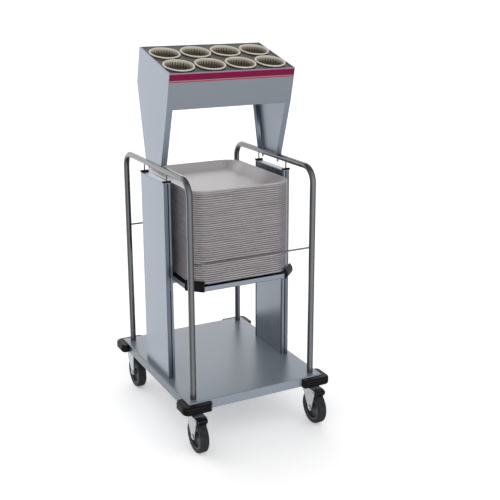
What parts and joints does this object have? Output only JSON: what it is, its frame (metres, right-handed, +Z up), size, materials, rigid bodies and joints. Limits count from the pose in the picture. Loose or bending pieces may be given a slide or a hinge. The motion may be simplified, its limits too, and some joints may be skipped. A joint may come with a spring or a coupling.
{
  "type": "cutlery trolley",
  "caption": "Stainless trolley on swivel castors with a sprung tray lift between two columns and a raised, sloping bin of lift-out cutlery cups.",
  "frame": {"origin": "on the floor, under the middle of the trolley's outer box", "axes": "+Z up; -Y towards the front, where the trays are taken and the cup panel slopes down; +X to the right as seen from the front"},
  "size_m": [0.592, 0.7584, 1.372],
  "materials": {
    "stainless": "satin",
    "inner_steel": "satin",
    "zinc_steel": "bright zinc",
    "dark_panel": "satin",
    "black_plastic": "matt",
    "bumper_rubber": "matt",
    "hub_plastic": "matt",
    "tyre": "matt",
    "tray_plastic": "fine grain",
    "cup_plastic": "satin"
  },
  "bodies": {
    "trolley": {"base_platform": "stainless", "base_stiffeners": "inner_steel", "castor_blocks": "inner_steel", "castor_heads": "zinc_steel", "corner_bumpers": "bumper_rubber", "left_side_frame": "stainless", "right_side_frame": "stainless", "foot_plugs": "inner_steel", "cross_rods": "stainless", "left_column_casing": "stainless", "right_column_casing": "stainless", "column_panels": "inner_steel", "column_caps": "stainless", "column_clips": "black_plastic", "column_tie_rods": "stainless", "guide_rods": "zinc_steel", "spring_hangers": "inner_steel", "lift_springs": "zinc_steel", "left_tower_side": "stainless", "right_tower_side": "stainless", "tower_bolts": "zinc_steel", "dome_nuts": "zinc_steel", "bin_front": "stainless", "bin_back": "stainless", "bin_floor": "inner_steel", "cup_panel": "dark_panel"},
    "tray_lift": {"lift_platform": "inner_steel", "lift_corner_guides": "black_plastic", "left_carriage": "inner_steel", "right_carriage": "inner_steel", "carriage_glides": "black_plastic", "tray_stack": "tray_plastic", "top_tray": "tray_plastic"},
    "front_left_castor": {"front_left_fork": "zinc_steel", "front_left_axle": "zinc_steel"},
    "front_left_wheel": {"front_left_hub": "hub_plastic", "front_left_tyre": "tyre"},
    "front_left_brake": {"front_left_brake_pedal": "black_plastic"},
    "front_right_castor": {"front_right_fork": "zinc_steel", "front_right_axle": "zinc_steel"},
    "front_right_wheel": {"front_right_hub": "hub_plastic", "front_right_tyre": "tyre"},
    "front_right_brake": {"front_right_brake_pedal": "black_plastic"},
    "rear_left_castor": {"rear_left_fork": "zinc_steel", "rear_left_axle": "zinc_steel"},
    "rear_left_wheel": {"rear_left_hub": "hub_plastic", "rear_left_tyre": "tyre"},
    "rear_right_castor": {"rear_right_fork": "zinc_steel", "rear_right_axle": "zinc_steel"},
    "rear_right_wheel": {"rear_right_hub": "hub_plastic", "rear_right_tyre": "tyre"},
    "back_cup_1": {"back_cup_1": "cup_plastic"},
    "back_cup_2": {"back_cup_2": "cup_plastic"},
    "back_cup_3": {"back_cup_3": "cup_plastic"},
    "back_cup_4": {"back_cup_4": "cup_plastic"},
    "front_cup_1": {"front_cup_1": "cup_plastic"},
    "front_cup_2": {"front_cup_2": "cup_plastic"},
    "front_cup_3": {"front_cup_3": "cup_plastic"},
    "front_cup_4": {"front_cup_4": "cup_plastic"}
  },
  "joints": [
    {"name": "tray_lift_slide", "type": "slide", "parent": "trolley", "child": "tray_lift", "axis": [0, 0, 1], "range_m": [-0.33, 0.25], "stiffness_N_per_m": 817, "springref_m": 0.405, "deforming": ["lift_springs"]},
    {"name": "front_left_swivel", "type": "hinge", "parent": "trolley", "child": "front_left_castor", "pos_m": [-0.238, -0.27875, 0.137], "axis": [0, 0, 1], "continuous": true},
    {"name": "front_left_wheel_spin", "type": "hinge", "parent": "front_left_castor", "child": "front_left_wheel", "pos_m": [-0.238, -0.31675, 0.0625], "axis": [1, 0, 0], "continuous": true},
    {"name": "front_left_brake_press", "type": "hinge", "parent": "front_left_castor", "child": "front_left_brake", "pos_m": [-0.238, -0.33875, 0.13], "axis": [1, 0, 0], "range_deg": [0, 15]},
    {"name": "front_right_swivel", "type": "hinge", "parent": "trolley", "child": "front_right_castor", "pos_m": [0.238, -0.27875, 0.137], "axis": [0, 0, 1], "continuous": true},
    {"name": "front_right_wheel_spin", "type": "hinge", "parent": "front_right_castor", "child": "front_right_wheel", "pos_m": [0.238, -0.31675, 0.0625], "axis": [1, 0, 0], "continuous": true},
    {"name": "front_right_brake_press", "type": "hinge", "parent": "front_right_castor", "child": "front_right_brake", "pos_m": [0.238, -0.33875, 0.13], "axis": [1, 0, 0], "range_deg": [0, 15]},
    {"name": "rear_left_swivel", "type": "hinge", "parent": "trolley", "child": "rear_left_castor", "pos_m": [-0.238, 0.32125, 0.137], "axis": [0, 0, 1], "continuous": true},
    {"name": "rear_left_wheel_spin", "type": "hinge", "parent": "rear_left_castor", "child": "rear_left_wheel", "pos_m": [-0.238, 0.28325, 0.0625], "axis": [1, 0, 0], "continuous": true},
    {"name": "rear_right_swivel", "type": "hinge", "parent": "trolley", "child": "rear_right_castor", "pos_m": [0.238, 0.32125, 0.137], "axis": [0, 0, 1], "continuous": true},
    {"name": "rear_right_wheel_spin", "type": "hinge", "parent": "rear_right_castor", "child": "rear_right_wheel", "pos_m": [0.238, 0.28325, 0.0625], "axis": [1, 0, 0], "continuous": true},
    {"name": "back_cup_1_lift_out", "type": "slide", "parent": "trolley", "child": "back_cup_1", "axis": [0, -0.2576, 0.9662], "range_m": [0, 0.14]},
    {"name": "back_cup_2_lift_out", "type": "slide", "parent": "trolley", "child": "back_cup_2", "axis": [0, -0.2576, 0.9662], "range_m": [0, 0.14]},
    {"name": "back_cup_3_lift_out", "type": "slide", "parent": "trolley", "child": "back_cup_3", "axis": [0, -0.2576, 0.9662], "range_m": [0, 0.14]},
    {"name": "back_cup_4_lift_out", "type": "slide", "parent": "trolley", "child": "back_cup_4", "axis": [0, -0.2576, 0.9662], "range_m": [0, 0.14]},
    {"name": "front_cup_1_lift_out", "type": "slide", "parent": "trolley", "child": "front_cup_1", "axis": [0, -0.2576, 0.9662], "range_m": [0, 0.14]},
    {"name": "front_cup_2_lift_out", "type": "slide", "parent": "trolley", "child": "front_cup_2", "axis": [0, -0.2576, 0.9662], "range_m": [0, 0.14]},
    {"name": "front_cup_3_lift_out", "type": "slide", "parent": "trolley", "child": "front_cup_3", "axis": [0, -0.2576, 0.9662], "range_m": [0, 0.14]},
    {"name": "front_cup_4_lift_out", "type": "slide", "parent": "trolley", "child": "front_cup_4", "axis": [0, -0.2576, 0.9662], "range_m": [0, 0.14]}
  ]
}
